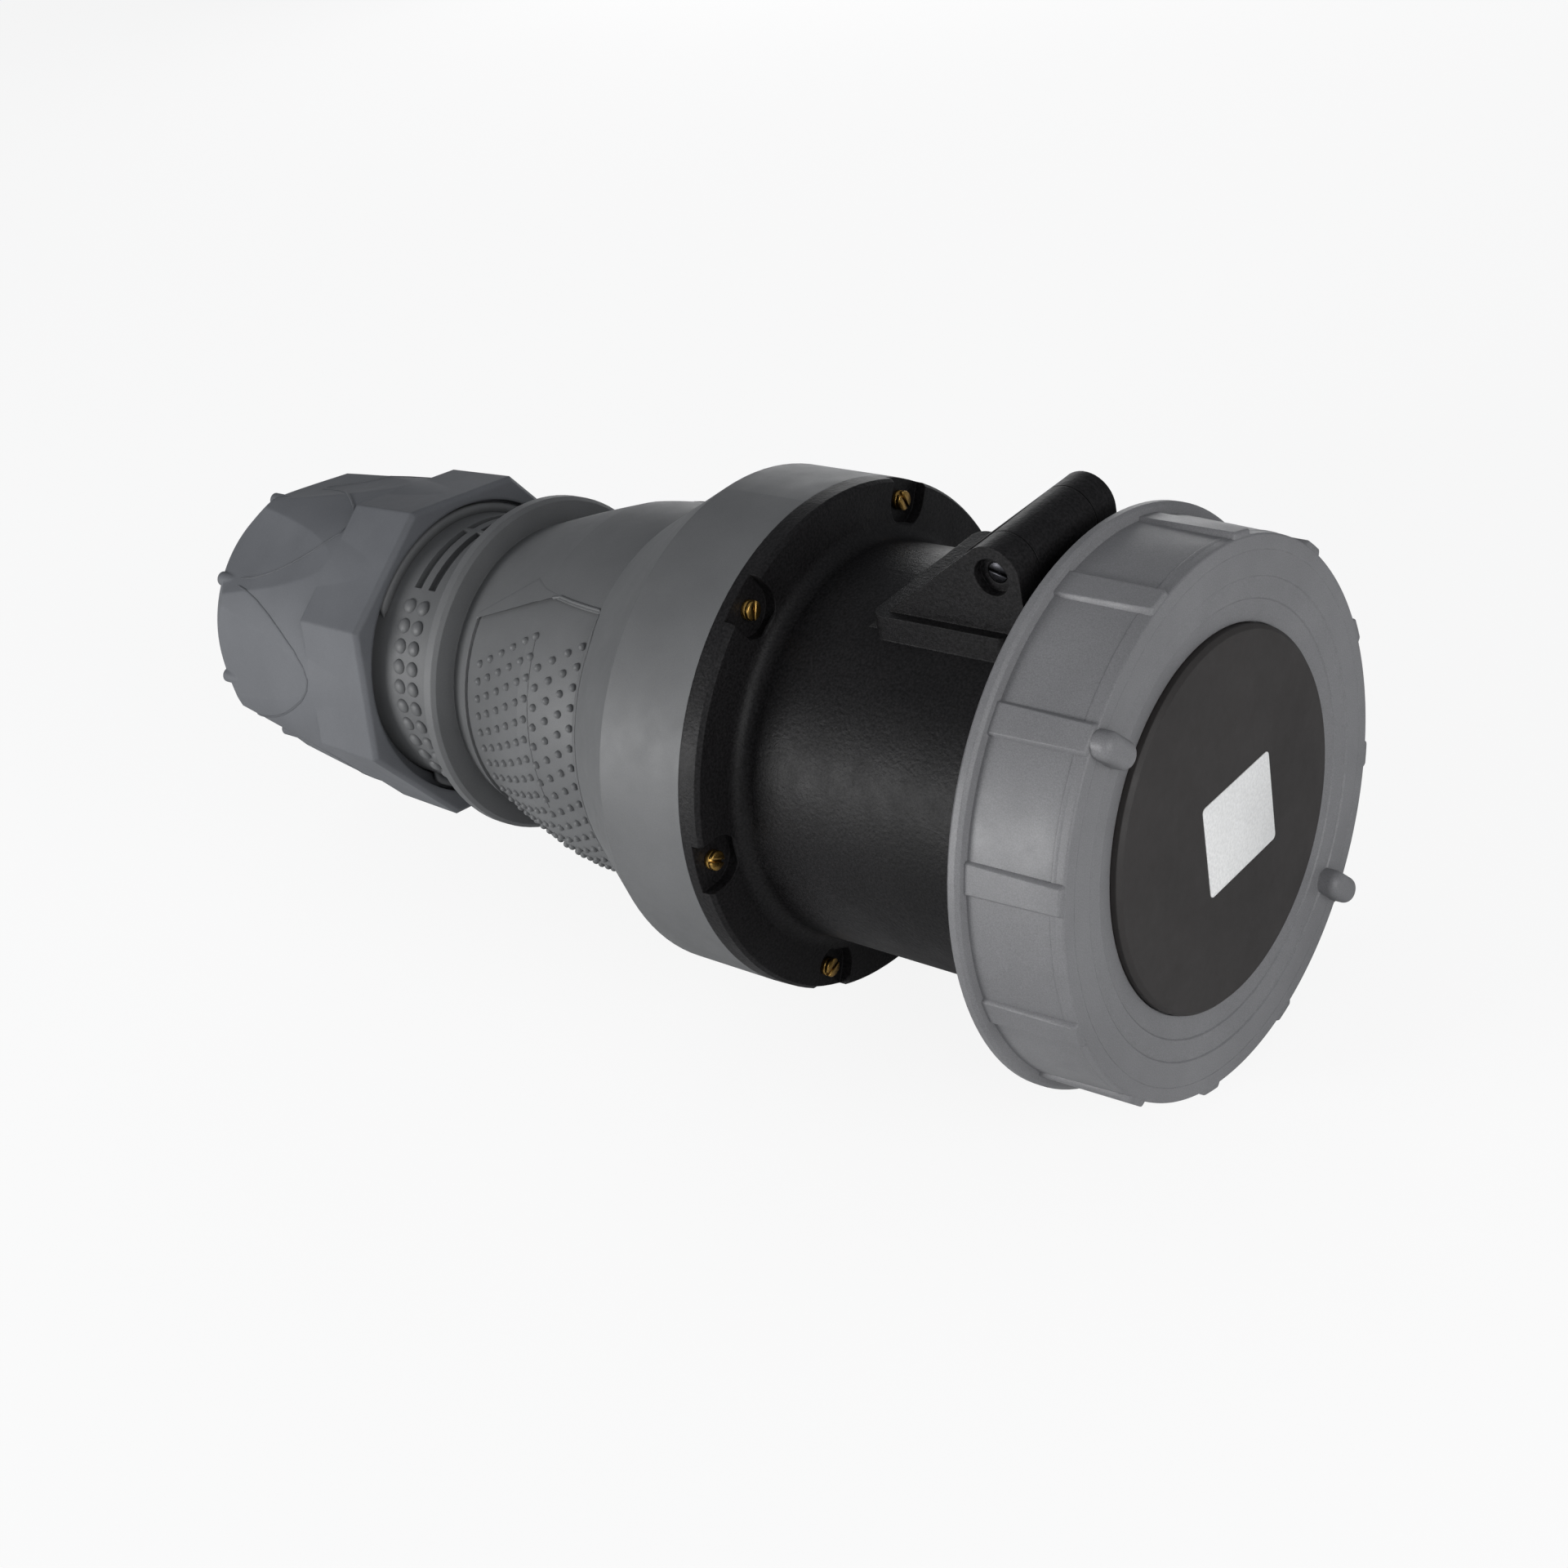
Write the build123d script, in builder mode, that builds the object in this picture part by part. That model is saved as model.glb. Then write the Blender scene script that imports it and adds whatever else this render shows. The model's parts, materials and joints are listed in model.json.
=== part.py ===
from build123d import *
import math
import os

# Pin and sleeve coupler, five poles, with a hinged lid and a turning locking ring.
# Millimetres. The axis runs along X, from the cable gland at 0 to the lid at the front.
# The hinge is on top (+Z) and its pin runs along Y. The coupler lies on its side.

os.makedirs("parts", exist_ok=True)

# Clearances
running = 0.05          # shaft in its bore, on the radius
seat = 0.3              # between pieces that pass each other
loose = 0.6             # between pieces that only clear each other

# Gland nut
nut_length = 81.0
nut_mouth_r = 28.5      # hole that the cable passes
nut_tail_r = 30.2       # rim at the rear end
nut_tail_length = 14.0
nut_tail_bulge = 0.8
nut_rear_r = 41.0
nut_front_r = 44.4
nut_floor = 22.0        # thickness behind the thrust ring
collar_start = 57.0     # where the eight sided collar begins
collar_corner_r = 48.3
nut_sides = 8
nut_turn_angle = 13.0   # how far the nut is screwed round, in degrees
flute_r = 110.0
flute_depth = 3.4
flute_end = 57.0
tail_rib_width = 4.2
tail_rib_x = 8.5
tail_rib_r = 39.4
tail_rib_angle = 4.5
nut_mouth_front_r = 41.6
nut_mouth_front_depth = 5.0
nut_edge = 1.2

# Neck of the rear housing
neck_r = 38.0
neck_start = 33.0
neck_bore_r = 28.0
seal_r = 33.0
seal_bore_r = 21.0
seal_length = 24.0
seal_lip = 3.0
thrust_r = 37.0
thrust_flange = 5.5
thrust_nose = 6.0
thrust_wall = 4.5

# Rear housing
guard_x = 108.0         # hand guard ring behind the grip
guard_r = 46.0
guard_thickness = 4.6
grip_r = 38.8
grip_mid_x = 127.0
grip_mid_r = 44.1
crease_x = 144.0         # where the grip's taper ends
crease_r = 49.0
grip_bow_x = 155.0
grip_bow_r = 50.2
grip_front_x = 166.0     # where the bell begins to flare
grip_front_r = 50.6
flare_end_x = 188.5
bell_r = 64.0
panel_depth = 0.8        # grip panels sunk in both sides
panel_rear_x = 117.0
panel_rear_half = 30.6   # half heights of a panel at its rear, at its corners and at its front
panel_peak_x = 138.0
panel_peak_half = 41.5
panel_front_half = 40.9
belly_x = 159.0          # the bell bulges under the grip
belly_drop = 9.4         # under the bell's own radius
belly_knee_x = 171.0
belly_knee_drop = 3.8
belly_end_x = 192.0
belly_arc = 82.0
belly_end_wall = 4.0     # in degrees
flange_x = 213.6        # joint between the two housings
shell_wall = 3.6
rim_length = 14.0       # thick rim that takes the flange screws
rim_wall = 13.0
slot_x = 88.0           # two arc slots in the neck, each side of the top and bottom seams
slot_pitch = 5.4
slot_width = 2.6
slot_depth = 1.6
slot_arc = 34.0
slot_lean = 18.0        # from the seam to the middle of a slot

# Front housing
flange_thickness = 5.7
flange_edge_drop = 1.0   # of the front face's edge, under the bell's radius
tube_r = 49.5
tube_wall = 3.0
tube_end = 308.0
flange_blend = 4.0
screw_count = 6
screw_inset = 5.4        # from the bell's radius to the screws
screw_head_r = 3.0
screw_head_height = 2.3
screw_shank_r = 1.8
screw_length = 14.0
pocket_depth = 3.0
pocket_width = 13.0
gasket_inset = 1.2       # from the rim's bore
gasket_width = 2.8
gasket_depth = 2.0
stop_x = 240.0          # inner shoulder that the contact carrier seats on
stop_width = 4.0
stop_height = 3.9
key_width = 9.0
key_depth = 3.0
bayonet_x = 297.4
bayonet_length = 5.0
bayonet_height = 7.9    # over the tube
bayonet_arc = 16.0

# Hinge
hinge_x = 280.2
hinge_rise = 14.7       # hinge line over the tube
hinge_r = 7.3
hinge_half = 19.0
knuckle_half = 11.2
ear_half_inner = 11.5
pin_r = 2.5
pin_end_gap = 2.4       # how deep the pin's ends lie in the ears
pin_recess_r = 4.4
bracket_base_x = 242.6
bracket_sink = 4.0      # how far the bracket starts under the tube's surface
pad_x = 246.0
pad_length = 37.6
pad_half = 21.5
pad_rise = 1.3          # ledge over the tube
swing_r = 14.5          # room round the hinge for the lid's arm
spring_wire_r = 0.6
spring_r = 3.9
spring_turns = 4
spring_pitch = 1.6
spring_pocket_r = 5.0

# Lid
lid_plate_x = 309.6
lid_plate_thickness = 3.9
lid_plate_gap = 2.5     # round the plate, inside the ring's skirt
lid_boss_r = 40.4
arm_half = 10.8
arm_gap = 2.2           # under the arm, over the tube
arm_thickness = 4.7
arm_rear_reach = 5.2    # behind the hinge
arm_front_reach = 6.8   # the upright under the knuckle, ahead of the hinge
seal_ring_lap = 1.1      # how far the lid's gasket reaches past the tube's end, each way
seal_ring_depth = 1.6
lid_face = 320.0
cap_r = 44.3
cap_recess = 3.4        # how deep the cap sits
cap_edge = 1.0
cap_screw_count = 4
cap_screw_circle_r = 30.0
cap_screw_r = 1.7
cap_screw_head_r = 3.2
cap_screw_head_height = 1.8

# Locking ring
ring_rear = 292.4
rim_height = 5.4        # over the panels between the ribs
rim_thickness = 3.2
skirt_gap = 1.6         # between the bayonet lugs and the skirt
skirt_wall = 3.6
rib_height = 3.4
rib_count = 12
rib_width = 6.4
rib_angle = 13.5
ring_set_back = 0.4     # front face of the ring behind the cap's
ring_band = 3.9         # plain band ahead of the panels
ring_band_drop = 1.5     # under the ribs
ring_round = 3.2
ring_step_r = 55.0
ring_dish_r = 50.0
ring_dish_drop = 0.7
rib_lap = 1.5           # how far the ribs run into the band
ramp_length = 4.0
ramp_height = 5.8       # inwards from the skirt
ramp_start = 24.0
ramp_arc = 28.0
lug_length = 13.5
lug_width = 6.4
lug_reach = 4.6         # how far the lugs stand out of the front face
lug_edge = 2.2
lug_rib = 4             # the rib that the first lug continues
lug_root = 5.2          # of the lug, inside the ring

# Contacts
contact_circle_r = 24.0
contact_count = 5
carrier_gap = 7.5       # room for the plug's shroud round the carrier
carrier_front = 300.0
carrier_edge = 1.5
base_r = 37.0
base_length = 35.0
base_flange = 9.0       # the part of the base that seats on the stop
base_bore_slack = 0.3
sleeve_wall = 2.4
sleeve_recess = 3.0
phase_bore_r = 5.05
earth_bore_r = 6.05
sleeve_depth = 42.0
terminal_r = 7.6
terminal_length = 34.0
terminal_bore_r = 5.0
terminal_bore_depth = 18.0
terminal_screw_r = 2.4
terminal_screw_length = 9.0
terminal_screw_sink = 1.0
terminal_screw_back = 5.0  # from the contact's rear end
carrier_screw_count = 3
carrier_screw_inset = 2.6
carrier_screw_r = 1.2
carrier_screw_length = 11.0
carrier_screw_head_r = 1.9
carrier_screw_head_height = 1.6


def profile(*points):
    """A closed outline in the XZ plane, given as (x, radius)."""
    with BuildSketch(Plane.XZ) as face:
        with BuildLine():
            Polyline(*points, close=True)
        make_face()
    return face.sketch


def tube_profile(start, end, inner, outer):
    """The half section of a plain tube along X."""
    return profile((start, inner), (end, inner), (end, outer), (start, outer))


def sector(x, inner, outer, start, arc):
    """A piece of a flat ring in the plane at x, with its angle from +Y towards +Z."""
    with BuildSketch(Plane.YZ.offset(x)) as face:
        with BuildLine():
            far = CenterArc((0, 0), outer, start, arc)
            near = CenterArc((0, 0), inner, start, arc)
            Line(near @ 0, far @ 0)
            Line(near @ 1, far @ 1)
        make_face()
    return face.sketch


def on_circle(x, radius, count, start=0.0):
    """Locations on a circle round the axis, each with its own z along X."""
    plane = Plane.YZ.offset(x)
    turn = [math.radians(start + 360 / count * step) for step in range(count)]
    return [plane.location * Location((radius * math.cos(a), radius * math.sin(a), 0)) for a in turn]


def finish(piece, name):
    piece.part.label = name
    export_step(piece.part, f"parts/{name}.step")


# Gland nut: a cone with eight shallow leaf shaped flutes and an eight sided collar
nut_corner_angle = nut_turn_angle
nut_face_angle = nut_corner_angle + 180 / nut_sides
flute_tilt = math.degrees(math.atan2(nut_front_r - nut_rear_r + flute_depth, flute_end - nut_tail_length))
flute_planes = []
for step in range(nut_sides):
    angle = math.radians(nut_face_angle + 360 / nut_sides * step)
    out = Vector(0, math.cos(angle), math.sin(angle))
    along = Vector(math.cos(math.radians(flute_tilt)), 0, 0) + out * math.sin(math.radians(flute_tilt))
    normal = out * math.cos(math.radians(flute_tilt)) - Vector(math.sin(math.radians(flute_tilt)), 0, 0)
    foot = Vector(nut_tail_length, 0, 0) + out * (nut_rear_r - flute_depth)
    flute_planes.append(Plane(origin=foot + normal * flute_r, z_dir=along))
thrust_x = nut_floor + seat
neck_gap_r = neck_r + seat

with BuildPart() as gland_nut:
    nut_body = profile(
        (0, nut_mouth_r), (0, nut_tail_r - nut_edge), (nut_edge, nut_tail_r),
        (nut_tail_length / 2, (nut_tail_r + nut_rear_r) / 2 + nut_tail_bulge),
        (nut_tail_length, nut_rear_r), (collar_start, nut_front_r),
        (nut_length, nut_front_r), (nut_length, nut_mouth_r),
    )
    revolve(nut_body, axis=Axis.X)
    with Locations([plane.location for plane in flute_planes]):
        Cylinder(flute_r, 2 * flute_end, mode=Mode.SUBTRACT)
    with BuildSketch(Plane.YZ.offset(tail_rib_x)) as tail_ribs:
        with PolarLocations((nut_tail_r + tail_rib_r) / 2, nut_sides, start_angle=tail_rib_angle):
            SlotOverall(tail_rib_r - nut_tail_r, tail_rib_width)
    extrude(amount=nut_tail_length)
    with BuildSketch(Plane.YZ.offset(nut_length)) as collar:
        RegularPolygon(collar_corner_r, nut_sides, rotation=nut_corner_angle)
        Circle(nut_mouth_r, mode=Mode.SUBTRACT)
    extrude(amount=collar_start - nut_length, taper=2)
    chamfer(gland_nut.faces().sort_by(Axis.X)[-1].outer_wire().edges(), nut_edge)
    nut_bore = profile(
        (nut_floor, 0), (nut_floor, neck_gap_r), (nut_length - nut_mouth_front_depth, neck_gap_r),
        (nut_length - nut_mouth_front_depth + 2, nut_mouth_front_r), (nut_length, nut_mouth_front_r),
        (nut_length, 0),
    )
    revolve(nut_bore, axis=Axis.X, mode=Mode.SUBTRACT)
finish(gland_nut, "gland_nut")

with BuildPart() as thrust_ring:
    nose_end = thrust_x + thrust_flange + thrust_nose
    thrust_body = profile(
        (thrust_x, nut_mouth_r), (nose_end, seal_r - thrust_wall - 2), (nose_end, seal_r - seat),
        (thrust_x + thrust_flange, seal_r - seat), (thrust_x + thrust_flange, thrust_r),
        (thrust_x, thrust_r),
    )
    revolve(thrust_body, axis=Axis.X)
finish(thrust_ring, "thrust_ring")

seal_x = nose_end + seat
with BuildPart() as gland_seal:
    seal_body = profile(
        (seal_x, seal_bore_r + seal_lip), (seal_x + seal_lip, seal_bore_r),
        (seal_x + seal_length - seal_lip, seal_bore_r), (seal_x + seal_length, seal_bore_r + seal_lip),
        (seal_x + seal_length, seal_r), (seal_x, seal_r),
    )
    revolve(seal_body, axis=Axis.X)
finish(gland_seal, "gland_seal")

# Rear housing: neck, hand guard, grip and bell in one moulding
seal_floor = seal_x + seal_length
rim_start = flange_x - rim_length
rim_bore_r = bell_r - rim_wall
screw_circle_r = bell_r - screw_inset
belly_r = bell_r - belly_drop
belly_knee_r = bell_r - belly_knee_drop
guard_rear = guard_x - guard_thickness / 2
guard_front = guard_x + guard_thickness / 2


def grip_line(drop):
    """The grip and the flare of the bell, drop under the skin, drawn in the open line."""
    ThreePointArc((guard_front, grip_r - drop), (grip_mid_x, grip_mid_r - drop), (crease_x, crease_r - drop))
    ThreePointArc((crease_x, crease_r - drop), (grip_bow_x, grip_bow_r - drop),
                  (grip_front_x, grip_front_r - drop))
    Line((grip_front_x, grip_front_r - drop), (flare_end_x, bell_r - drop))


def belly_line(drop):
    """The bulge under the grip, drop under the skin, drawn in the open line."""
    ThreePointArc((belly_x + drop, belly_r - drop / 2), (belly_knee_x + drop / 2, belly_knee_r - drop),
                  (belly_end_x, bell_r - drop))


panel_points = [
    (panel_rear_x, -panel_rear_half), (panel_peak_x, -panel_peak_half), (grip_front_x, -panel_front_half),
    (grip_front_x, panel_front_half), (panel_peak_x, panel_peak_half), (panel_rear_x, panel_rear_half),
]
with BuildPart() as panel_skin:
    with BuildSketch(Plane.XZ) as over_grip:
        with BuildLine():
            grip_line(panel_depth)
            Polyline((flare_end_x, bell_r - panel_depth), (flare_end_x, bell_r + 1), (guard_front, bell_r + 1),
                     (guard_front, grip_r - panel_depth))
        make_face()
    revolve(axis=Axis.X)
    with BuildSketch(Plane.XZ) as panel_outline:
        with BuildLine():
            Polyline(*panel_points, close=True)
        make_face()
    extrude(amount=bell_r + 1, both=True, mode=Mode.INTERSECT)

with BuildPart() as rear_housing:
    with BuildSketch(Plane.XZ) as shell:
        with BuildLine():
            Polyline(
                (grip_front_x, 0), (neck_start, 0), (neck_start, neck_r - 1), (neck_start + 1, neck_r),
                (guard_rear, neck_r), (guard_rear, guard_r - 1), (guard_rear + 1, guard_r),
                (guard_front - 1, guard_r), (guard_front, guard_r - 1), (guard_front, grip_r),
            )
            grip_line(0)
            Polyline((flare_end_x, bell_r), (flange_x, bell_r), (flange_x, 0), (grip_front_x, 0))
        make_face()
    revolve(axis=Axis.X)
    with BuildSketch(Plane.XZ.rotated((180 - belly_arc / 2, 0, 0))) as belly:
        with BuildLine():
            belly_line(0)
            Polyline((belly_end_x, bell_r), (belly_end_x, bell_r - 1), (flare_end_x, bell_r - 1),
                     (grip_front_x, grip_front_r - 1), (belly_x, grip_bow_r - 1), (belly_x, belly_r))
        make_face()
    revolve(axis=Axis.X, revolution_arc=belly_arc)
    with BuildSketch(Plane.XZ) as hollow:
        with BuildLine():
            Polyline(
                (grip_front_x, 0), (neck_start, 0), (neck_start, seal_r + running),
                (seal_floor, seal_r + running), (seal_floor, neck_bore_r), (guard_rear, neck_bore_r),
                (guard_front, grip_r - shell_wall),
            )
            grip_line(shell_wall)
            Polyline((flare_end_x, bell_r - shell_wall), (rim_start - 4, bell_r - shell_wall),
                     (rim_start, rim_bore_r), (flange_x, rim_bore_r), (flange_x, 0), (grip_front_x, 0))
        make_face()
    revolve(axis=Axis.X, mode=Mode.SUBTRACT)
    with BuildSketch(Plane.XZ.rotated((180 - belly_arc / 2 + belly_end_wall, 0, 0))) as belly_hollow:
        with BuildLine():
            belly_line(shell_wall)
            Polyline((belly_end_x, bell_r - shell_wall), (flare_end_x, bell_r - shell_wall - 1),
                     (grip_front_x, grip_front_r - shell_wall - 1),
                     (belly_x + shell_wall, grip_bow_r - shell_wall - 1),
                     (belly_x + shell_wall, belly_r - shell_wall / 2))
        make_face()
    revolve(axis=Axis.X, revolution_arc=belly_arc - 2 * belly_end_wall, mode=Mode.SUBTRACT)
    add(panel_skin.part, mode=Mode.SUBTRACT)
    for middle in (90 - slot_lean, 90 + slot_lean, 270 - slot_lean, 270 + slot_lean):
        for row in range(2):
            slot = sector(slot_x - slot_width / 2 + slot_pitch * row, neck_r - slot_depth, neck_r + 1,
                          middle - slot_arc / 2, slot_arc)
            extrude(slot, amount=slot_width, mode=Mode.SUBTRACT)
    screw_hole_depth = screw_length - (flange_thickness - pocket_depth) + 1
    with Locations(on_circle(flange_x - screw_hole_depth / 2, screw_circle_r, screw_count)):
        Cylinder(screw_shank_r + running, screw_hole_depth, mode=Mode.SUBTRACT)
finish(rear_housing, "rear_housing")

# Front housing: flange, shrouding tube and hinge bracket in one moulding
tube_bore_r = tube_r - tube_wall
bracket_base_z = tube_r - bracket_sink
hinge_z = tube_r + hinge_rise
pad_z = tube_r + pad_rise
bayonet_r = tube_r + bayonet_height
base_flange_r = tube_bore_r - seat
carrier_r = tube_bore_r - carrier_gap
carrier_screw_circle_r = tube_bore_r - carrier_screw_inset
flange_face = flange_x + flange_thickness
gasket_inner_r = rim_bore_r + gasket_inset
gasket_outer_r = gasket_inner_r + gasket_width
bracket_points = [
    (bracket_base_x, bracket_base_z), (hinge_x - hinge_r * 0.55, hinge_z + hinge_r * 0.83),
    (hinge_x, hinge_z), (hinge_x + hinge_r, hinge_z), (hinge_x + hinge_r, bracket_base_z),
]
with BuildPart() as front_housing:
    front_body = profile(
        (flange_x, tube_bore_r), (flange_x, bell_r), (flange_face - 1, bell_r - 0.2),
        (flange_face, bell_r - flange_edge_drop), (flange_face, tube_r), (tube_end, tube_r), (tube_end, tube_bore_r),
    )
    revolve(front_body, axis=Axis.X)
    hub = front_housing.edges().filter_by(GeomType.CIRCLE).filter_by_position(
        Axis.X, flange_face - 0.1, flange_face + 0.1).sort_by(SortBy.RADIUS)[0]
    fillet(hub, flange_blend)
    with BuildSketch(Plane.XY.offset(bracket_base_z)) as pad:
        with Locations((pad_x + pad_length / 2, 0)):
            RectangleRounded(pad_length, 2 * pad_half, 3)
    extrude(amount=pad_z - bracket_base_z)
    with BuildSketch(Plane.XY.offset(bracket_base_z - 16)) as pad_foot:
        with Locations((pad_x + pad_length / 2, 0)):
            RectangleRounded(pad_length, 2 * pad_half, 3)
    extrude(amount=16)
    for side in (-1, 1):
        ear_plane = Plane.XZ.offset(-side * (ear_half_inner + hinge_half) / 2)
        with BuildSketch(ear_plane) as ear:
            with BuildLine():
                Polyline(*bracket_points, close=True)
            make_face()
            with Locations((hinge_x, hinge_z)):
                Circle(hinge_r)
        extrude(amount=(hinge_half - ear_half_inner) / 2, both=True)
    revolve(tube_profile(flange_x, tube_end + 1, 0, tube_bore_r), axis=Axis.X, mode=Mode.SUBTRACT)
    revolve(tube_profile(stop_x, stop_x + stop_width, tube_bore_r - stop_height, tube_bore_r + 1), axis=Axis.X)
    key = sector(stop_x + stop_width, tube_bore_r - key_depth, tube_bore_r + 1,
                 270 - math.degrees(key_width / tube_bore_r) / 2, math.degrees(key_width / tube_bore_r))
    extrude(key, amount=tube_end - 2 - stop_x - stop_width)
    for side in (0, 180):
        extrude(sector(bayonet_x, tube_r - 1, bayonet_r, side - bayonet_arc / 2, bayonet_arc),
                amount=bayonet_length)
    hinge_line = Plane.XZ.offset(0)
    with BuildSketch(hinge_line) as swing:
        with Locations((hinge_x, hinge_z)):
            Circle(swing_r)
    extrude(amount=ear_half_inner, both=True, mode=Mode.SUBTRACT)
    with BuildSketch(hinge_line) as pin_hole:
        with Locations((hinge_x, hinge_z)):
            Circle(pin_r + running)
    extrude(amount=hinge_half + 1, both=True, mode=Mode.SUBTRACT)
    for side in (-1, 1):
        recess_plane = Plane.XZ.offset(-side * (hinge_half - pin_end_gap / 2))
        with BuildSketch(recess_plane) as recess:
            with Locations((hinge_x, hinge_z)):
                Circle(pin_recess_r)
        extrude(amount=pin_end_gap / 2 + 0.01, both=True, mode=Mode.SUBTRACT)
    revolve(tube_profile(flange_x, flange_x + gasket_depth, gasket_inner_r, gasket_outer_r),
            axis=Axis.X, mode=Mode.SUBTRACT)
    with BuildSketch(Plane.YZ.offset(flange_face)) as pockets:
        with PolarLocations(screw_circle_r, screw_count):
            Circle(pocket_width / 2)
            with Locations((pocket_width / 2, 0)):
                Rectangle(pocket_width, pocket_width)
    extrude(amount=-pocket_depth, mode=Mode.SUBTRACT)
    with Locations(on_circle(flange_x + flange_thickness / 2, screw_circle_r, screw_count)):
        Cylinder(screw_shank_r + running, flange_thickness, mode=Mode.SUBTRACT)
    hole_x = stop_x + stop_width / 2
    with Locations(on_circle(hole_x, carrier_screw_circle_r, carrier_screw_count, 30)):
        Cylinder(carrier_screw_r + running, stop_width, mode=Mode.SUBTRACT)
finish(front_housing, "front_housing")

with BuildPart() as flange_gasket:
    revolve(tube_profile(flange_x, flange_x + gasket_depth, gasket_inner_r, gasket_outer_r), axis=Axis.X)
finish(flange_gasket, "flange_gasket")

pocket_floor = flange_face - pocket_depth
with BuildPart() as flange_screws:
    with Locations(on_circle(pocket_floor + screw_head_height / 2, screw_circle_r, screw_count)):
        Cylinder(screw_head_r, screw_head_height)
    with Locations(on_circle(pocket_floor - screw_length / 2, screw_circle_r, screw_count)):
        Cylinder(screw_shank_r, screw_length)
finish(flange_screws, "flange_screws")

# Contact carrier and its five sleeves
base_rear = stop_x - base_length
flange_rear = stop_x - base_flange
sleeve_front = carrier_front - sleeve_recess
sleeve_rear = sleeve_front - sleeve_depth
contact_angles = [270 + 360 / contact_count * step for step in range(contact_count)]
contact_names = ["contact_pe", "contact_l1", "contact_l2", "contact_l3", "contact_n"]
contact_bores = [earth_bore_r] + [phase_bore_r] * (contact_count - 1)


def contact_point(x, angle):
    """A point on the contact circle, with the contact's own direction along X."""
    turn = math.radians(angle)
    return Plane.YZ.offset(x).location * Location(
        (contact_circle_r * math.cos(turn), contact_circle_r * math.sin(turn), 0))


with BuildPart() as contact_carrier:
    carrier_body = profile(
        (stop_x, 0), (stop_x, carrier_r), (carrier_front - carrier_edge, carrier_r),
        (carrier_front, carrier_r - carrier_edge), (carrier_front, 0),
    )
    revolve(carrier_body, axis=Axis.X)
    for angle, bore_r in zip(contact_angles, contact_bores):
        with Locations(contact_point((carrier_front + sleeve_rear) / 2, angle)):
            Cylinder(bore_r + sleeve_wall + seat, carrier_front - sleeve_rear, mode=Mode.SUBTRACT)
        with Locations(contact_point((stop_x + sleeve_rear) / 2, angle)):
            Cylinder(terminal_r + seat, sleeve_rear - stop_x + 0.02, mode=Mode.SUBTRACT)
finish(contact_carrier, "contact_carrier")

terminal_rear = sleeve_rear - terminal_length
screw_stand = terminal_rear + terminal_screw_back
for name, angle, bore_r in zip(contact_names, contact_angles, contact_bores):
    with BuildPart() as contact:
        with Locations(contact_point((sleeve_front + sleeve_rear) / 2, angle)):
            Cylinder(bore_r + sleeve_wall, sleeve_depth)
        with Locations(contact_point(sleeve_rear - terminal_length / 2, angle)):
            Cylinder(terminal_r, terminal_length)
        with Locations(contact_point((sleeve_front + sleeve_rear) / 2, angle)):
            Cylinder(bore_r, sleeve_depth, mode=Mode.SUBTRACT)
        with Locations(contact_point(terminal_rear + terminal_bore_depth / 2, angle)):
            Cylinder(terminal_bore_r, terminal_bore_depth, mode=Mode.SUBTRACT)
        turn = math.radians(angle)
        outward = Vector(0, math.cos(turn), math.sin(turn))
        side_hole = Plane(origin=Vector(screw_stand, 0, 0) + outward * (contact_circle_r + terminal_r / 2 + 1),
                          z_dir=outward)
        with Locations(side_hole.location):
            Cylinder(terminal_screw_r + running, terminal_r + 4, mode=Mode.SUBTRACT)
    finish(contact, name)

with BuildPart() as terminal_screws:
    for angle in contact_angles:
        turn = math.radians(angle)
        outward = Vector(0, math.cos(turn), math.sin(turn))
        head_r = contact_circle_r + terminal_r - terminal_screw_sink
        stand = Plane(origin=Vector(screw_stand, 0, 0) + outward * (head_r - terminal_screw_length / 2),
                      z_dir=outward)
        with Locations(stand.location):
            Cylinder(terminal_screw_r, terminal_screw_length)
finish(terminal_screws, "terminal_screws")

with BuildPart() as carrier_base:
    base_body = profile(
        (base_rear, 0), (base_rear, base_r), (flange_rear, base_r), (flange_rear, base_flange_r),
        (stop_x, base_flange_r), (stop_x, 0),
    )
    revolve(base_body, axis=Axis.X)
    for angle in contact_angles:
        with Locations(contact_point(stop_x - base_length / 2, angle)):
            Cylinder(terminal_r + base_bore_slack, base_length, mode=Mode.SUBTRACT)
    with Locations(on_circle(flange_rear + base_flange / 2, carrier_screw_circle_r, carrier_screw_count, 30)):
        Cylinder(carrier_screw_r + running, base_flange, mode=Mode.SUBTRACT)
    for angle in contact_angles:
        turn = math.radians(angle)
        outward = Vector(0, math.cos(turn), math.sin(turn))
        access = Plane(origin=Vector(screw_stand, 0, 0) + outward * (contact_circle_r + base_r) / 2,
                       z_dir=outward)
        with Locations(access.location):
            Cylinder(terminal_screw_r + 0.8, base_r - contact_circle_r + 2, mode=Mode.SUBTRACT)
finish(carrier_base, "carrier_base")

with BuildPart() as carrier_screws:
    with Locations(on_circle(flange_rear + carrier_screw_length / 2, carrier_screw_circle_r,
                             carrier_screw_count, 30)):
        Cylinder(carrier_screw_r, carrier_screw_length)
    with Locations(on_circle(flange_rear - carrier_screw_head_height / 2, carrier_screw_circle_r,
                             carrier_screw_count, 30)):
        Cylinder(carrier_screw_head_r, carrier_screw_head_height)
finish(carrier_screws, "carrier_screws")

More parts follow.
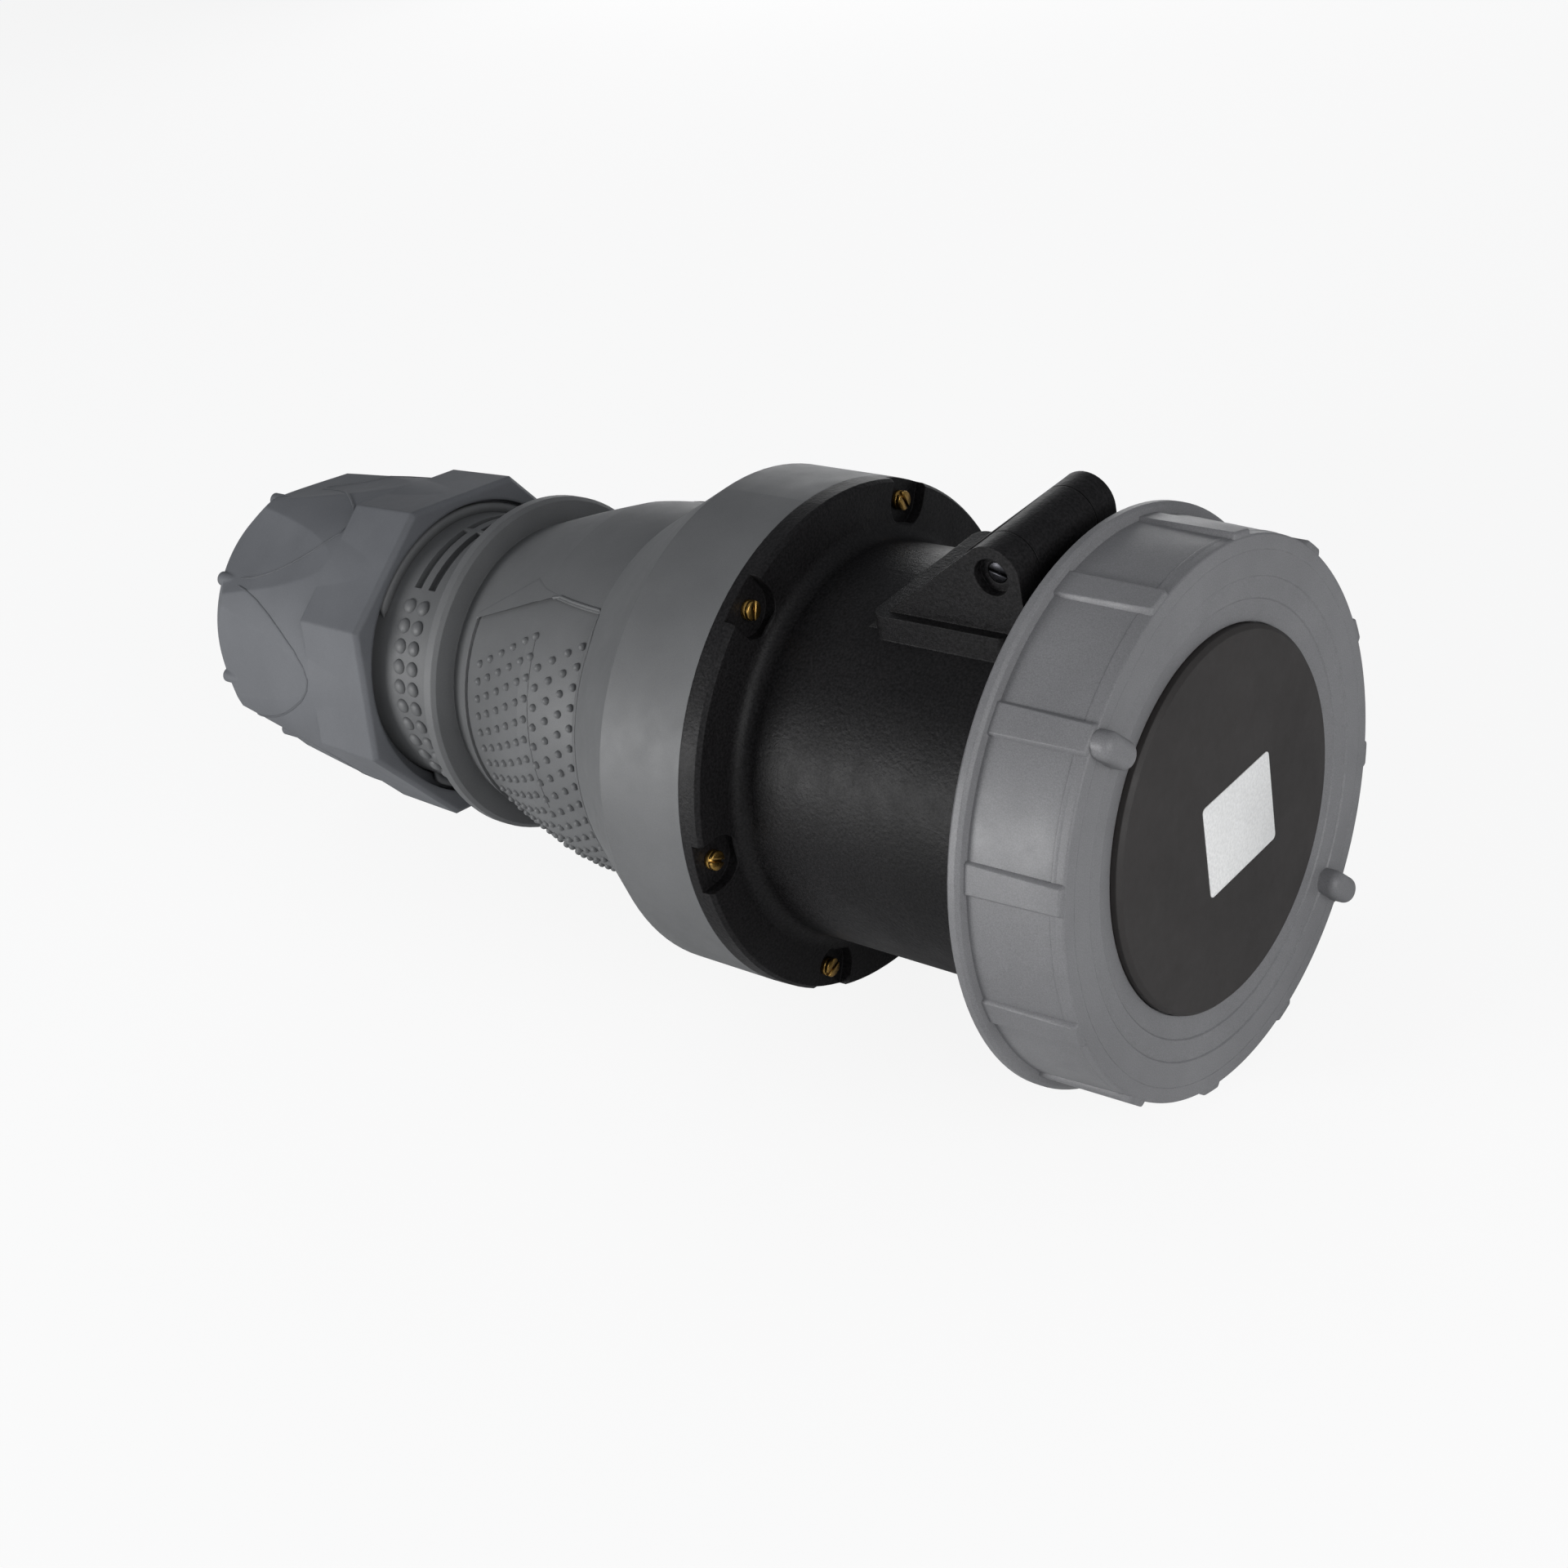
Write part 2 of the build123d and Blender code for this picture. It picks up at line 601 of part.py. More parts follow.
# Lid: a plate behind the ring, with an arm that leaves under the ring's skirt
skirt_bore_r = bayonet_r + skirt_gap
lid_plate_r = skirt_bore_r - lid_plate_gap
arm_low = tube_r + arm_gap
arm_high = arm_low + arm_thickness
seal_ring_outer_r = tube_r + seal_ring_lap
seal_ring_inner_r = tube_bore_r - seal_ring_lap
lid_front = lid_plate_x + lid_plate_thickness
cap_rear = lid_face - cap_recess
with BuildPart() as lid:
    lid_body = profile(
        (lid_plate_x, 0), (lid_plate_x, lid_plate_r), (lid_front, lid_plate_r), (lid_front, lid_boss_r),
        (cap_rear, lid_boss_r), (cap_rear, 0),
    )
    revolve(lid_body, axis=Axis.X)
    with BuildSketch(Plane.XZ) as arm:
        with BuildLine():
            Polyline(
                (hinge_x - arm_rear_reach, arm_low), (lid_front, arm_low), (lid_front, arm_high),
                (hinge_x + arm_front_reach, arm_high), (hinge_x + hinge_r, hinge_z),
                (hinge_x - hinge_r, hinge_z), close=True,
            )
        make_face()
    extrude(amount=arm_half, both=True)
    with BuildSketch(Plane.XZ) as knuckle:
        with Locations((hinge_x, hinge_z)):
            Circle(hinge_r)
    extrude(amount=knuckle_half, both=True)
    with BuildSketch(Plane.XZ) as knuckle_bore:
        with Locations((hinge_x, hinge_z)):
            Circle(pin_r + running)
    extrude(amount=knuckle_half, both=True, mode=Mode.SUBTRACT)
    spring_pocket = spring_turns * spring_pitch + 2 * (spring_wire_r + seat)
    with BuildSketch(Plane.XZ.offset(-knuckle_half)) as pocket:
        with Locations((hinge_x, hinge_z)):
            Circle(spring_pocket_r)
    extrude(amount=spring_pocket, mode=Mode.SUBTRACT)
    revolve(tube_profile(lid_plate_x, lid_plate_x + seal_ring_depth, seal_ring_inner_r, seal_ring_outer_r),
            axis=Axis.X, mode=Mode.SUBTRACT)
    with Locations(on_circle((lid_plate_x + cap_rear) / 2, cap_screw_circle_r, cap_screw_count, 45)):
        Cylinder(cap_screw_r + running, cap_rear - lid_plate_x, mode=Mode.SUBTRACT)
    with Locations(on_circle(lid_plate_x + cap_screw_head_height / 2, cap_screw_circle_r, cap_screw_count, 45)):
        Cylinder(cap_screw_head_r + seat, cap_screw_head_height, mode=Mode.SUBTRACT)
finish(lid, "lid")

with BuildPart() as lid_gasket:
    revolve(tube_profile(tube_end + seat, lid_plate_x + seal_ring_depth, seal_ring_inner_r, seal_ring_outer_r),
            axis=Axis.X)
finish(lid_gasket, "lid_gasket")

with BuildPart() as lid_cap:
    cap_body = profile(
        (cap_rear, 0), (cap_rear, cap_r), (lid_face - cap_edge, cap_r), (lid_face, cap_r - cap_edge),
        (lid_face, 0),
    )
    revolve(cap_body, axis=Axis.X)
    cap_hole_depth = cap_recess - 1
    with Locations(on_circle(cap_rear + cap_hole_depth / 2, cap_screw_circle_r, cap_screw_count, 45)):
        Cylinder(cap_screw_r + running, cap_hole_depth, mode=Mode.SUBTRACT)
finish(lid_cap, "lid_cap")

with BuildPart() as lid_cap_screws:
    cap_screw_end = cap_rear + cap_hole_depth - seat
    with Locations(on_circle((lid_plate_x + cap_screw_end) / 2, cap_screw_circle_r, cap_screw_count, 45)):
        Cylinder(cap_screw_r, cap_screw_end - lid_plate_x)
    with Locations(on_circle(lid_plate_x + cap_screw_head_height / 2, cap_screw_circle_r, cap_screw_count, 45)):
        Cylinder(cap_screw_head_r, cap_screw_head_height)
finish(lid_cap_screws, "lid_cap_screws")

with BuildPart() as hinge_pin:
    with BuildSketch(Plane.XZ) as pin_section:
        with Locations((hinge_x, hinge_z)):
            Circle(pin_r)
    extrude(amount=hinge_half - pin_end_gap, both=True)
finish(hinge_pin, "hinge_pin")

with BuildPart() as hinge_spring:
    spring_start = (hinge_x, knuckle_half - spring_pocket + spring_wire_r + seat, hinge_z)
    with BuildLine() as coil:
        Helix(spring_pitch, spring_turns * spring_pitch, spring_r, center=spring_start, direction=(0, 1, 0))
    with BuildSketch(Plane(origin=coil.line @ 0, z_dir=coil.line % 0)) as wire:
        Circle(spring_wire_r)
    sweep(is_frenet=True)
finish(hinge_spring, "hinge_spring")

# Locking ring: a ribbed skirt with a dished front face, turning between plate and cap
panel_r = skirt_bore_r + skirt_wall
rib_r = panel_r + rib_height
rim_r = panel_r + rim_height
ramp_r = skirt_bore_r - ramp_height
lug_inner_r = rib_r - lug_length
ring_face_x = lid_face - ring_set_back
ring_back = lid_front + seat
ring_lip_front = cap_rear - seat
ring_bore_r = lid_boss_r + loose
cap_well_r = cap_r + seat
band_x = ring_face_x - ring_band
band_r = rib_r - ring_band_drop
rib_rear = ring_rear + rim_thickness - 0.4
with BuildPart() as locking_ring:
    ring_body = profile(
        (ring_rear, skirt_bore_r), (ring_rear, rim_r - 0.8), (ring_rear + 0.8, rim_r),
        (ring_rear + rim_thickness - 0.8, rim_r), (ring_rear + rim_thickness, rim_r - 0.8),
        (ring_rear + rim_thickness + 0.8, panel_r), (band_x, panel_r), (band_x + 0.6, band_r),
        (ring_face_x, band_r), (ring_face_x, ring_step_r),
        (ring_face_x - ring_dish_drop / 2, ring_step_r - 0.3), (ring_face_x - ring_dish_drop, ring_dish_r),
        (ring_face_x - 1.5 * ring_dish_drop, ring_dish_r - 0.3), (ring_face_x - 1.9, cap_well_r),
        (ring_lip_front, cap_well_r), (ring_lip_front, ring_bore_r), (ring_back, ring_bore_r),
        (ring_back, skirt_bore_r),
    )
    revolve(ring_body, axis=Axis.X)
    fillet(locking_ring.faces().sort_by(Axis.X)[-1].outer_wire().edges(), ring_round)
    with BuildSketch(Plane.YZ.offset(rib_rear)) as ribs:
        with PolarLocations((skirt_bore_r + rib_r) / 2 + 1, rib_count, start_angle=rib_angle):
            Rectangle(rib_r - skirt_bore_r - 2, rib_width)
    extrude(amount=band_x + rib_lap - rib_rear, taper=1.5)
    lug_angles = [rib_angle + 360 / rib_count * lug_rib + half for half in (0, 180)]
    for angle in lug_angles:
        with BuildSketch(Plane.YZ.offset(ring_face_x - lug_root)) as lug:
            with PolarLocations((lug_inner_r + rib_r) / 2 - 0.4, 1, start_angle=angle):
                SlotOverall(rib_r - lug_inner_r - 0.8, lug_width)
        extrude(amount=lug_root + lug_reach)
    lug_tops = locking_ring.faces().sort_by(Axis.X)[-2:]
    fillet(lug_tops.edges(), lug_edge)
    for side in (0, 180):
        extrude(sector(ring_rear, ramp_r, skirt_bore_r + 1, ramp_start + side, ramp_arc), amount=ramp_length)
finish(locking_ring, "locking_ring")
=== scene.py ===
import json
import math

import bmesh
import bpy
from mathutils import Matrix, Vector
from mathutils.bvhtree import BVHTree


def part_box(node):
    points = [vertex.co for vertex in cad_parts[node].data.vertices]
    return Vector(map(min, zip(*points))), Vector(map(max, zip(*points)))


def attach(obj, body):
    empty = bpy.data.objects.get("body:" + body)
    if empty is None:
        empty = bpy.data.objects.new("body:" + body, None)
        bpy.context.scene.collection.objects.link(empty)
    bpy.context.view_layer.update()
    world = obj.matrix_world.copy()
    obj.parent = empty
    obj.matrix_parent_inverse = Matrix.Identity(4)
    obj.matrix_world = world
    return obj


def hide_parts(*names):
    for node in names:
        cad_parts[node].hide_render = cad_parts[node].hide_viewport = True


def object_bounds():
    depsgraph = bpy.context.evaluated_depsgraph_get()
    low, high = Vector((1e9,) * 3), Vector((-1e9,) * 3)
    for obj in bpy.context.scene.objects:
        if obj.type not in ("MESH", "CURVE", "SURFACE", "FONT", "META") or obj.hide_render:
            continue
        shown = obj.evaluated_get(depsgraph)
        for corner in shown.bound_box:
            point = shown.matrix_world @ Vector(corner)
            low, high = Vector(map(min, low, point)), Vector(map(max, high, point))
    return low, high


# Five pole coupler on a pale studio floor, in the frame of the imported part: the axis runs
# along +X from the gland to the lid, and the hinge is on top. Sizes and places of the pieces
# are in mm and degrees. An angle turns round the axis from +Y towards +Z. The camera, the
# floor and the lamps are in metres.

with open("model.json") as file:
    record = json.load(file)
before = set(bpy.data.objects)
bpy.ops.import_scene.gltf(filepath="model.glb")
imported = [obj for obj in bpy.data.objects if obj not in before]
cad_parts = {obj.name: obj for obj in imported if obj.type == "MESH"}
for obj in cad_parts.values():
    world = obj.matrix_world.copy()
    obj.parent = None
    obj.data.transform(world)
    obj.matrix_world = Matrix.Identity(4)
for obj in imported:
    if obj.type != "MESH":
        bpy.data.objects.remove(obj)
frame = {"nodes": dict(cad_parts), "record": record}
cad_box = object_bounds()
nodes = frame["nodes"]
MM = 0.001
AXIS = Vector((1, 0, 0))
CLEAR = 90  # a radius outside every part
BLACK = (0, 0, 0, 1)
WHITE = (1, 1, 1, 1)


def srgb(r, g, b):
    """Linear colour for a colour given as 0 to 255."""
    def lin(v):
        v /= 255
        return v / 12.92 if v <= 0.04045 else ((v + 0.055) / 1.055) ** 2.4
    return (lin(r), lin(g), lin(b), 1.0)


def grey(value):
    """An opaque grey of this linear value."""
    return (value, value, value, 1)


def linked(name, data):
    """A new object in the scene."""
    thing = bpy.data.objects.new(name, data)
    bpy.context.scene.collection.objects.link(thing)
    return thing


# Node graphs

class Graph:
    """The nodes of a material or a world, with short calls to add and join them."""

    def __init__(self, tree):
        self.tree = tree
        self.tree.nodes.clear()

    def add(self, kind, inputs=(), **values):
        node = self.tree.nodes.new(kind)
        for key, value in values.items():
            setattr(node, key, value)
        for socket, value in dict(inputs).items():
            node.inputs[socket].default_value = value
        return node

    def join(self, a, out, b, into):
        self.tree.links.new(a.outputs[out], b.inputs[into])


class MaterialGraph(Graph):
    """A material with one principled shader, and the nodes that drive it."""

    def __init__(self, name):
        self.material = bpy.data.materials.new(name)
        self.material.use_nodes = True
        super().__init__(self.material.node_tree)
        self.output = self.add("ShaderNodeOutputMaterial")
        self.shader = self.add("ShaderNodeBsdfPrincipled")
        self.join(self.shader, "BSDF", self.output, "Surface")
        self.place = self.add("ShaderNodeTexCoord")

    def noise(self, scale, detail, roughness=0.55):
        sockets = {"Scale": scale, "Detail": detail, "Roughness": roughness}
        node = self.add("ShaderNodeTexNoise", sockets)
        self.join(self.place, "Object", node, "Vector")
        return node

    def ramp(self, source, out, first, last, low, high):
        """One colour up to low, the other from high on, and a blend between."""
        node = self.add("ShaderNodeValToRGB")
        for stop, position, colour in zip(node.color_ramp.elements, (low, high), (first, last)):
            stop.position = position
            stop.color = colour
        self.join(source, out, node, "Fac")
        return node

    def mix(self, kind, share, a, b):
        """Two colours mixed. A value is a plain one, or a node and the number of its output."""
        node = self.add("ShaderNodeMix", data_type="RGBA", blend_type=kind)
        for socket, value in ((0, share), (6, a), (7, b)):
            if isinstance(value, tuple) and isinstance(value[0], bpy.types.Node):
                self.join(*value, node, socket)
            else:
                node.inputs[socket].default_value = value
        return node

    def rounded(self, radius):
        """Normals that round the edges off, by a radius in mm."""
        return self.add("ShaderNodeBevel", {"Radius": radius * MM}, samples=4)

    def bump(self, source, height, before, strength=1.0):
        """Relief of a height in mm on top of the normals of the node before."""
        sockets = {"Strength": strength, "Distance": height * MM}
        node = self.add("ShaderNodeBump", sockets)
        self.join(source, "Fac", node, "Height")
        self.join(before, "Normal", node, "Normal")
        return node


# Materials

RUB_AND_HIGHLIGHT_GAIN, RUB_AND_HIGHLIGHT_LIFT = 2.2, 0.03  # a rubbed edge's colour, partly wear and partly a painted edge highlight, against the plastic's own
SPECKLE = 1.6  # flecks of tone, strong ones painted glints, are this much finer than the grain
TARNISH = 0.62  # the darkest metal against the clean one


def moulded(name, dark, light, roughness, grain=2600, grain_height=0.02, rounding=0.4,
            edge_wear_and_highlight=0.0, fleck_and_glint=0.08, shine=0.5):
    """Moulded plastic: spark grain with flecks of tone, strong ones painted glints, rounded edges
    lightened partly as wear and partly as a painted edge highlight, and slow colour drift.
    """
    g = MaterialGraph(name)
    drift = g.ramp(g.noise(scale=28, detail=4), "Fac", dark, light, low=0.35, high=0.65)
    speckle = g.noise(scale=grain * SPECKLE, detail=2)
    # Random flecks of tone; at the black housing's strength they are painted glints of the grain's
    # sparkle.
    flecks_and_glints = g.ramp(speckle, "Fac", grey(1 - fleck_and_glint), grey(1 + fleck_and_glint), low=0.34, high=0.68)
    colour = g.mix("MULTIPLY", 1.0, (drift, 0), (flecks_and_glints, 0))

    edge = g.rounded(rounding)
    facing = g.add("ShaderNodeNewGeometry")
    agreement = g.add("ShaderNodeVectorMath", operation="DOT_PRODUCT")
    g.join(edge, "Normal", agreement, 0)
    g.join(facing, "Normal", agreement, 1)
    # Edges lighten towards a paler colour: partly wear, partly a painted edge highlight that stays
    # the same whatever the lamps do.
    rubbed_and_highlit_edges = g.ramp(agreement, "Value", grey(edge_wear_and_highlight), BLACK, low=0.80, high=0.97)
    patches = g.noise(scale=420, detail=4, roughness=0.7)
    patchy = g.ramp(patches, "Fac", BLACK, WHITE, low=0.46, high=0.60)
    wear_and_highlight_mask = g.mix("MULTIPLY", 1.0, (rubbed_and_highlit_edges, 0), (patchy, 0))
    wear_and_highlight_colour = tuple(min(1.0, c * RUB_AND_HIGHLIGHT_GAIN + RUB_AND_HIGHLIGHT_LIFT) for c in light[:3]) + (1,)
    with_wear_and_highlight = g.mix("MIX", (wear_and_highlight_mask, 2), (colour, 2), wear_and_highlight_colour)
    g.join(with_wear_and_highlight, 2, g.shader, "Base Color")

    scuff = g.noise(scale=110, detail=5, roughness=0.65)
    smooth, rough = grey(roughness - 0.05), grey(roughness + 0.07)
    gloss = g.ramp(scuff, "Fac", smooth, rough, low=0.30, high=0.70)
    g.join(gloss, "Color", g.shader, "Roughness")
    g.shader.inputs["Specular IOR Level"].default_value = shine

    fine = g.bump(g.noise(scale=grain, detail=3, roughness=0.6), grain_height, before=edge)
    wavy = g.bump(g.noise(scale=45, detail=2), 0.06, before=fine, strength=0.6)
    g.join(wavy, "Normal", g.shader, "Normal")
    return g.material


def metal(name, colour, roughness):
    """Machined metal with fine turning marks and slight tarnish."""
    g = MaterialGraph(name)
    dull = tuple(c * TARNISH for c in colour[:3]) + (1,)
    tone = g.ramp(g.noise(scale=260, detail=4), "Fac", dull, colour, low=0.3, high=0.75)
    g.join(tone, "Color", g.shader, "Base Color")
    g.shader.inputs["Metallic"].default_value = 1.0
    mark = g.noise(scale=1500, detail=3)
    smooth, rough = grey(roughness - 0.06), grey(roughness + 0.1)
    gloss = g.ramp(mark, "Fac", smooth, rough, low=0.3, high=0.7)
    g.join(gloss, "Color", g.shader, "Roughness")
    scratched = g.bump(mark, 0.01, before=g.rounded(0.12))
    g.join(scratched, "Normal", g.shader, "Normal")
    return g.material


HOUSING_GREYS = (srgb(96, 97, 98), srgb(105, 106, 107))

grey_nut = moulded("grey_nut", srgb(95, 97, 101), srgb(104, 106, 110), 0.60,
                   grain=3000, rounding=1.3, edge_wear_and_highlight=0.10)
grey_housing = moulded("grey_housing", *HOUSING_GREYS, 0.52,
                       grain=3200, grain_height=0.012, edge_wear_and_highlight=0.12)
grey_skin = moulded("grey_skin", *HOUSING_GREYS, 0.52,
                    grain=3200, grain_height=0.012, rounding=0.02)
# The ring's edges are lightened most: partly wear, partly a painted edge highlight.
grey_ring = moulded("grey_ring", srgb(113, 113, 115), srgb(123, 123, 125), 0.46,
                    grain=2200, grain_height=0.03, edge_wear_and_highlight=0.35, fleck_and_glint=0.14)
# Its strong flecks are painted glints of the grain's sparkle, on top of random tone.
black_housing = moulded("black_housing", srgb(20, 19, 20), srgb(27, 26, 27), 0.48,
                        grain=1000, grain_height=0.13, edge_wear_and_highlight=0.10, fleck_and_glint=0.6, shine=0.20)
black_lid = moulded("black_lid", srgb(40, 37, 36), srgb(47, 44, 43), 0.62)
carrier_plastic = moulded("carrier_plastic", srgb(40, 42, 45), srgb(52, 54, 58), 0.50)
seal_rubber = moulded("seal_rubber", srgb(24, 24, 25), srgb(36, 36, 37), 0.70, grain=900)
label_film = moulded("label_film", srgb(234, 234, 233), srgb(244, 244, 243), 0.45,
                     grain=900, grain_height=0.004, rounding=0.05)
brass = metal("brass", srgb(190, 152, 84), 0.30)
steel = metal("steel", srgb(176, 178, 182), 0.34)
dark_steel = metal("dark_steel", srgb(70, 70, 74), 0.42)

BY_SLOT = {
    "grey_nut": grey_nut, "grey_housing": grey_housing, "grey_ring": grey_ring,
    "black_housing": black_housing, "black_lid": black_lid, "carrier_plastic": carrier_plastic,
    "seal_rubber": seal_rubber, "brass_parts": brass, "steel_parts": steel,
}
BY_NODE = {"lid": black_housing, "hinge_pin": dark_steel}


def paint(piece, material):
    piece.data.materials.clear()
    piece.data.materials.append(material)


for row in frame["record"]["subparts"]:
    node = row["node"]
    paint(nodes[node], BY_NODE.get(node, BY_SLOT[row["material_slot"]]))


# Tools for new pieces

SHARP = math.radians(38)  # a crisp piece keeps the edges that bend more than this


def at(x, radius, angle):
    """A point from its place along the axis, its radius and its angle."""
    turn = math.radians(angle)
    return Vector((x, radius * math.cos(turn), radius * math.sin(turn))) * MM


def piece_from(name, mesh, material, body, crisp=False):
    """An object from a finished mesh, painted, that rides on a body."""
    bmesh.ops.recalc_face_normals(mesh, faces=mesh.faces)
    mesh.normal_update()
    if crisp:
        for edge in mesh.edges:
            edge.smooth = edge.calc_face_angle(0) < SHARP
    data = bpy.data.meshes.new(name)
    mesh.to_mesh(data)
    mesh.free()
    for face in data.polygons:
        face.use_smooth = True
    piece = linked(name, data)
    paint(piece, material)
    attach(piece, body)
    return piece


def skin_of(node):
    """A CAD node's surface, to cast rays at."""
    mesh = nodes[node].data
    corners = [v.co for v in mesh.vertices]
    return BVHTree.FromPolygons(corners, [p.vertices for p in mesh.polygons])


def seat(skin, x, angle):
    """Where a skin is first met on the way in to the axis, with its normal."""
    start = at(x, CLEAR, angle)
    hit, normal, _, _ = skin.ray_cast(start, at(x, 0, angle) - start)
    return hit, normal


def mirrored(angle, side):
    """The angle on the side of the camera (1), or its mirror image on the other side (-1)."""
    return angle if side > 0 else 180 - angle


def split(points, steps):
    """Each stretch of a line cut into equal steps, without the line's last point."""
    return [
        (x0 + (x1 - x0) * k / steps, y0 + (y1 - y0) * k / steps)
        for (x0, y0), (x1, y1) in zip(points, points[1:])
        for k in range(steps)
    ]


def circle(mesh, centre, a, b, radius, sides):
    """A loop of vertices round a centre, in the plane of the directions a and b."""
    turns = (2 * math.pi * k / sides for k in range(sides))
    return [
        mesh.verts.new(centre + (a * math.cos(t) + b * math.sin(t)) * (radius * MM))
        for t in turns
    ]


def loft(mesh, loops, ends=True):
    """Faces between neighbouring closed loops of vertices, and over both ends."""
    for low, high in zip(loops, loops[1:]):
        for k in range(len(low)):
            m = (k + 1) % len(low)
            mesh.faces.new((low[k], low[m], high[m], high[k]))
    if ends:
        mesh.faces.new(list(reversed(loops[0])))
        mesh.faces.new(loops[-1])


def across(direction, n):
    """The direction without its share along n, and the one square to both."""
    a = (direction - direction.dot(n) * n).normalized()
    return a, n.cross(a)


def dome(mesh, centre, normal, radius, height, sides, rings=3, sink=0.2):
    """A low round stud on a surface, its skirt sunk a little under it."""
    n = normal.normalized()
    a, b = across(AXIS, n)
    loops = [circle(mesh, centre - n * (sink * MM), a, b, radius, sides)]
    for ring in range(rings):
        rise = math.pi / 2 * ring / rings
        middle = centre + n * (height * math.sin(rise) * MM)
        loops.append(circle(mesh, middle, a, b, radius * math.cos(rise), sides))
    loft(mesh, loops, ends=False)
    top = mesh.verts.new(centre + n * (height * MM))
    for k in range(sides):
        mesh.faces.new((loops[-1][k], loops[-1][(k + 1) % sides], top))


def cord_along(mesh, line, radius, sides=6, taper=3):
    """A fine round bead along points with their normals, thinned out at both ends."""
    loops = []
    last = len(line) - 1
    for k, (point, normal) in enumerate(line):
        scale = min(1.0, (k + 1) / taper, (last + 1 - k) / taper)
        way = (line[min(k + 1, last)][0] - line[max(k - 1, 0)][0]).normalized()
        aside = normal.cross(way).normalized()
        loops.append(circle(mesh, point, aside, normal, radius * scale, sides))
    loft(mesh, loops)


def lathe(mesh, origin, axis, rows, sides):
    """A turned form from pairs of a place along the axis and a radius."""
    a = axis.orthogonal().normalized()
    b = axis.cross(a)
    loft(mesh, [
        circle(mesh, origin + axis * (place * MM), a, b, radius, sides) for place, radius in rows
    ])


def slotted_top(mesh, origin, axis, slot, radius, low, high, half_slot, edge=0.2, steps=14):
    """Both halves of a slotted end, from low to high along the axis, with a broken edge."""
    a, b = across(slot, axis)
    reach = math.acos(half_slot / radius)
    for side in (1, -1):
        turns = [side * (-reach + 2 * reach * k / steps) for k in range(steps + 1)]
        loops = []
        for place, inset in ((low, 0.0), (high - edge, 0.0), (high, edge)):
            loop = []
            for t in turns:
                out = max(half_slot, (radius - inset) * math.cos(t)) * side
                aside = (radius - inset) * math.sin(t) * side
                loop.append(mesh.verts.new(origin + (axis * place + b * out + a * aside) * MM))
            loops.append(loop)
        loft(mesh, loops)


# Studs of the rear housing

GRIP_STUD = {"radius": 1.05, "height": 1.0, "sides": 12}
GRIP_ROWS = 16
GRIP_END = 233  # no stud lies past this angle
GRIP_COLUMNS = (  # columns, first row's angle at the first column, lean per mm, step per row
    ((123.4, 128.3, 133.4, 138.3, 143.2, 146.8), 148.4, 0.54, 6.25),
    ((150.6, 155.3, 160.0, 164.2), 144.6, 0.64, 5.9),
)
NECK_DOT = {"radius": 2.1, "height": 1.1, "sides": 18}
NECK_COLUMNS = (88.0, 93.2)
NECK_ROWS, NECK_FIRST, NECK_STEP = 12, 133, 8.4

shell = skin_of("rear_housing")


def stud_pair(mesh, x, angle, stud):
    """One stud on each side of the rear housing."""
    for side in (1, -1):
        point, normal = seat(shell, x, mirrored(angle, side))
        dome(mesh, point, normal, **stud)


def grip_studs():
    """Studs of the grip: six columns behind the crease and four ahead of it, on both sides."""
    mesh = bmesh.new()
    for columns, first, lean, step in GRIP_COLUMNS:
        for x in columns:
            for row in range(GRIP_ROWS):
                angle = first - (x - columns[0]) * lean + row * step
                if angle <= GRIP_END:
                    stud_pair(mesh, x, angle, GRIP_STUD)
    piece_from("grip_studs", mesh, grey_housing, "housing")


def neck_dots():
    """Two columns of round dots on the neck, on both sides."""
    mesh = bmesh.new()
    for row in range(NECK_ROWS):
        for x in NECK_COLUMNS:
            stud_pair(mesh, x, NECK_FIRST + row * NECK_STEP, NECK_DOT)
    piece_from("neck_dots", mesh, grey_housing, "housing")


# Grip panels of the rear housing, as lines of (x, height) points seen from the side

PANEL_TOP = (
    (116.4, 30.0), (126.3, 33.7), (134.1, 36.6), (141.7, 39.4), (147.3, 41.1), (151.0, 41.8),
    (166.6, 41.5),
)
PANEL_BOTTOM = [(x, -z) for x, z in PANEL_TOP[:5]] + [(157.0, -41.8)]  # as far as the belly
PANEL_FRONT = (
    (166.8, 41.3), (168.2, 36.8), (168.0, 31.0), (168.0, 25.0), (168.2, 14.0), (168.6, 1.0),
    (168.2, -37.0),
)
CREASE_FLASH = (
    (146.8, 34.5), (147.4, 29.0), (148.2, 18.5), (149.3, 5.4), (150.2, -1.5), (150.4, -8.0),
)
BEADS = ((PANEL_TOP, 0.45), (PANEL_BOTTOM, 0.45), (PANEL_FRONT, 0.3), (CREASE_FLASH, 0.16))
BEAD_STEPS = 40

RECESS_TOP = ((117.0, 30.6), (138.0, 41.5), (166.0, 40.9))  # of the recess in the solid
SKIN_REAR, SKIN_CREASE = 116.2, 144.0
SKIN_REAR_STEPS, SKIN_CREASE_STEPS = 36, 7  # the second ones are 1 mm each
SKIN_ROWS = 8
SKIN_LIFT = 0.06  # over the solid's own crease
SKIN_DEPTH = 1.1
SKIN_LEAST = 0.1
SKIN_LAP = 0.7  # on the solid above the recess


def height_at(points, x):
    """The height at x of a line seen from the side."""
    for (x0, z0), (x1, z1) in zip(points, points[1:]):
        if x <= x1:
            return z0 + (z1 - z0) * (x - x0) / (x1 - x0)
    return points[-1][1]


def panel_bead():
    """Raised bead on the edges of both grip panels, and the flash on their crease."""
    mesh = bmesh.new()
    for points, radius in BEADS:
        for side in (-1, 1):
            line = []
            for x, z in split(points, BEAD_STEPS) + [points[-1]]:
                start = Vector((x, side * CLEAR, z)) * MM
                hit, normal, _, _ = shell.ray_cast(start, Vector((0, -side, 0)))
                line.append((hit, normal))
            cord_along(mesh, line, radius)
    piece_from("panel_bead", mesh, grey_housing, "housing")


